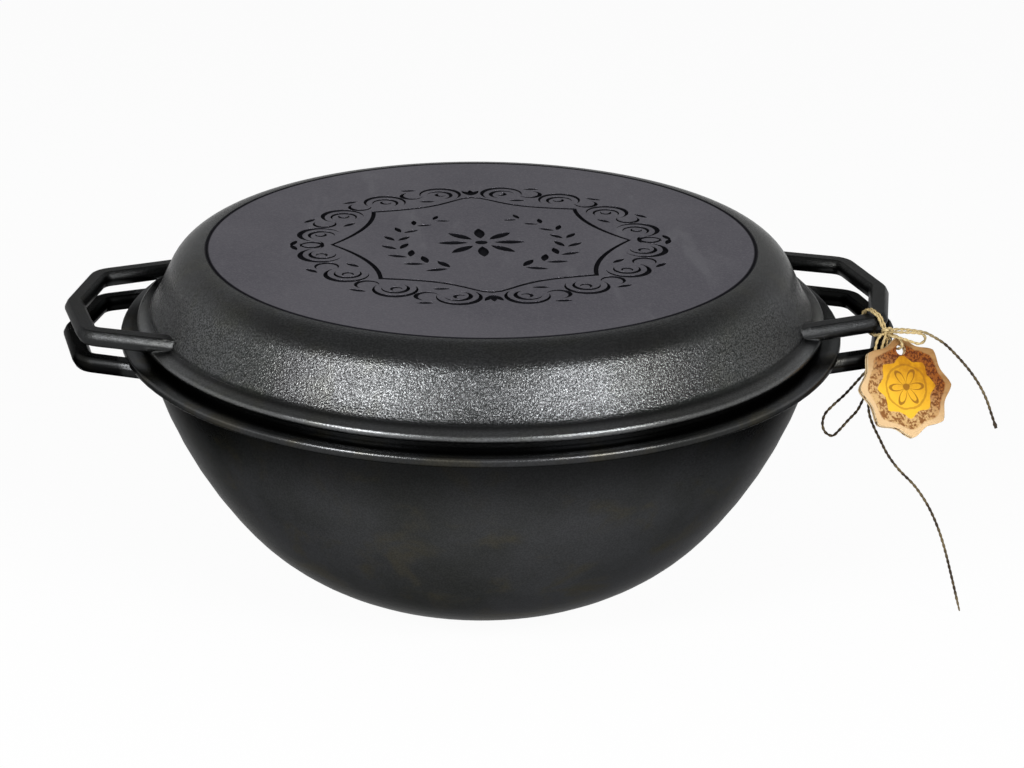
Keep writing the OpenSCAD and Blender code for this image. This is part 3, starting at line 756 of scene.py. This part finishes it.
def tag_board():
    """The tag's flat board with its hole, lying level round the origin."""
    mesh = bmesh.new()
    outline = []
    for a in turns(TAG_STEPS):
        r = TAG_R - TAG_HOLLOW * abs(math.sin(a * TAG_POINTS / 2)) ** TAG_SHAPE
        outline.append((r * math.cos(a), r * math.sin(a), TAG_T / 2))
    hole = [(TAG_HOLE_R * math.cos(a), TAG_HOLE_OUT + TAG_HOLE_R * math.sin(a), TAG_T / 2)
            for a in turns(TAG_HOLE_STEPS)]
    edges = []
    for loop in (outline, hole):
        verts = [mesh.verts.new(p) for p in loop]
        edges += [mesh.edges.new((verts[i - 1], verts[i])) for i in range(len(verts))]
    bmesh.ops.triangle_fill(mesh, edges=edges, use_beauty=True)
    bmesh.ops.recalc_face_normals(mesh, faces=mesh.faces)
    for face in mesh.faces:
        if face.normal.z < 0:
            face.normal_flip()
    thick = bmesh.ops.extrude_face_region(mesh, geom=list(mesh.faces))
    moved = [v for v in thick["geom"] if isinstance(v, bmesh.types.BMVert)]
    bmesh.ops.translate(mesh, verts=moved, vec=(0, 0, -TAG_T))
    bmesh.ops.recalc_face_normals(mesh, faces=mesh.faces)
    return mesh


def make_tag(material):
    """The wooden tag, leaning in its place on the twine."""
    tag = new_piece("wooden_tag", tag_board())
    tag.matrix_world = (Matrix.Translation(TAG_AT) @ Matrix.Rotation(TAG_FACING, 4, "Z")
                        @ Matrix.Rotation(math.pi / 2 - TAG_LEAN, 4, "X")
                        @ Matrix.Rotation(TAG_ROLL, 4, "Z"))
    bevel = tag.modifiers.new("soft edges", "BEVEL")
    bevel.width = TAG_BEVEL
    bevel.segments = 2
    bevel.limit_method = "ANGLE"
    bevel.angle_limit = TAG_BEVEL_ANGLE
    tag.data.materials.append(material)
    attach(tag, "root")
    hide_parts("hang_tag")
    return tag


def smoothing():
    """A node group that joins the mesh's split corners and shades it smooth but for its real edges."""
    tree = bpy.data.node_groups.new("smooth_casting", "GeometryNodeTree")
    tree.interface.new_socket("Geometry", in_out="INPUT", socket_type="NodeSocketGeometry")
    tree.interface.new_socket("Geometry", in_out="OUTPUT", socket_type="NodeSocketGeometry")
    new, join = tree.nodes.new, tree.links.new
    start, end = new("NodeGroupInput"), new("NodeGroupOutput")
    drop = new("GeometryNodeRemoveAttribute")
    drop.inputs["Name"].default_value = "custom_normal"
    weld = new("GeometryNodeMergeByDistance")
    weld.inputs["Distance"].default_value = WELD
    faces, edges = new("GeometryNodeSetShadeSmooth"), new("GeometryNodeSetShadeSmooth")
    edges.domain = "EDGE"
    angle = new("GeometryNodeInputMeshEdgeAngle")
    gentle = new("ShaderNodeMath")
    gentle.operation = "LESS_THAN"
    gentle.inputs[1].default_value = EDGE_ANGLE
    join(angle.outputs["Unsigned Angle"], gentle.inputs[0])
    join(gentle.outputs[0], edges.inputs["Shade Smooth"])
    for a, b in ((start, drop), (drop, weld), (weld, faces), (faces, edges), (edges, end)):
        join(a.outputs[0], b.inputs[0])
    return tree


def dress_castings():
    """Gives the two castings their iron and smooths them."""
    group = smoothing()
    for name, material in (("wok_bowl", iron("bowl_iron", BOWL_LOOK)),
                           ("lid_pan", iron("lid_iron", LID_LOOK))):
        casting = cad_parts[name]
        casting.data.materials.clear()
        casting.data.materials.append(material)
        casting.modifiers.new("smooth casting", "NODES").node_group = group


def seen_directly(n):
    """1 where the camera, a mirror or a glass looks at the surface, 0 where it only gives light."""
    rays = n.add("ShaderNodeLightPath").node.outputs
    seen = rays["Is Camera Ray"]
    for name in ("Is Glossy Ray", "Is Transmission Ray"):
        seen = n.math("MAXIMUM", seen, rays[name])
    return seen


def make_floor():
    """A pale floor: almost white where it is seen, plain where it only gives light."""
    n = material_nodes("pale_floor")
    plain = n.add("ShaderNodeBsdfDiffuse", 0, {"Color": (FLOOR_GREY, FLOOR_GREY, FLOOR_GREY, 1)})
    white = n.add("ShaderNodeEmission", 0, {"Color": (1, 1, 1, 1), "Strength": 1.0})
    share = n.math("MULTIPLY", seen_directly(n), FLOOR_WHITE)
    material = n.finish(n.add("ShaderNodeMixShader", 0, {0: share, 1: plain, 2: white}))
    corners = [(-FLOOR_HALF, -FLOOR_HALF, 0), (FLOOR_HALF, -FLOOR_HALF, 0),
               (FLOOR_HALF, FLOOR_HALF, 0), (-FLOOR_HALF, FLOOR_HALF, 0)]
    data = bpy.data.meshes.new("floor")
    data.from_pydata(corners, [], [(0, 1, 2, 3)])
    floor = link(bpy.data.objects.new("floor", data))
    floor.location.z = -FLOOR_DROP
    floor.data.materials.append(material)


def make_room():
    """A pale room: white where it is seen, dimmer overhead, and weak where it only gives light."""
    n = Nodes(bpy.data.worlds.new("pale_room"), "ShaderNodeOutputWorld")
    sky_z = n.split(n.add("ShaderNodeTexCoord", "Generated"))["Z"]
    seen = seen_directly(n)
    unseen = n.math("SUBTRACT", 1.0, seen)
    strength = n.math("MULTIPLY", seen, n.ramp(sky_z, *ROOM_DIMS, 1.0, ROOM_OVERHEAD))
    strength = n.math("MULTIPLY_ADD", unseen, ROOM_LIGHT, strength)
    shader = n.add("ShaderNodeBackground", 0, {"Color": (1, 1, 1, 1), "Strength": strength})
    bpy.context.scene.world = n.finish(shader)


def soft_light(name, azimuth, width, radiance):
    """A rectangular soft light that faces the wok; azimuth 0 is the camera's side."""
    data = bpy.data.lights.new(name, "AREA")
    data.shape = "RECTANGLE"
    data.size, data.size_y = width, LAMP_TALL
    data.energy = radiance * math.pi * width * LAMP_TALL
    lamp = link(bpy.data.objects.new(name, data))
    a, e = math.radians(azimuth), math.radians(LAMP_ELEVATION)
    towards = Vector((math.sin(a) * math.cos(e), -math.cos(a) * math.cos(e), math.sin(e)))
    lamp.location = VIEW_TARGET + towards * LAMP_DISTANCE
    lamp.rotation_mode = "QUATERNION"
    lamp.rotation_quaternion = towards.to_track_quat("Z", "Y")


make_camera()
wooden_tag = make_tag(printed_wood())
make_twine(twine_fibre())
dress_castings()
make_floor()
make_room()
soft_light("left_softbox", **LEFT_LAMP)
soft_light("right_softbox", **RIGHT_LAMP)
bpy.context.scene.view_settings.view_transform = "Standard"
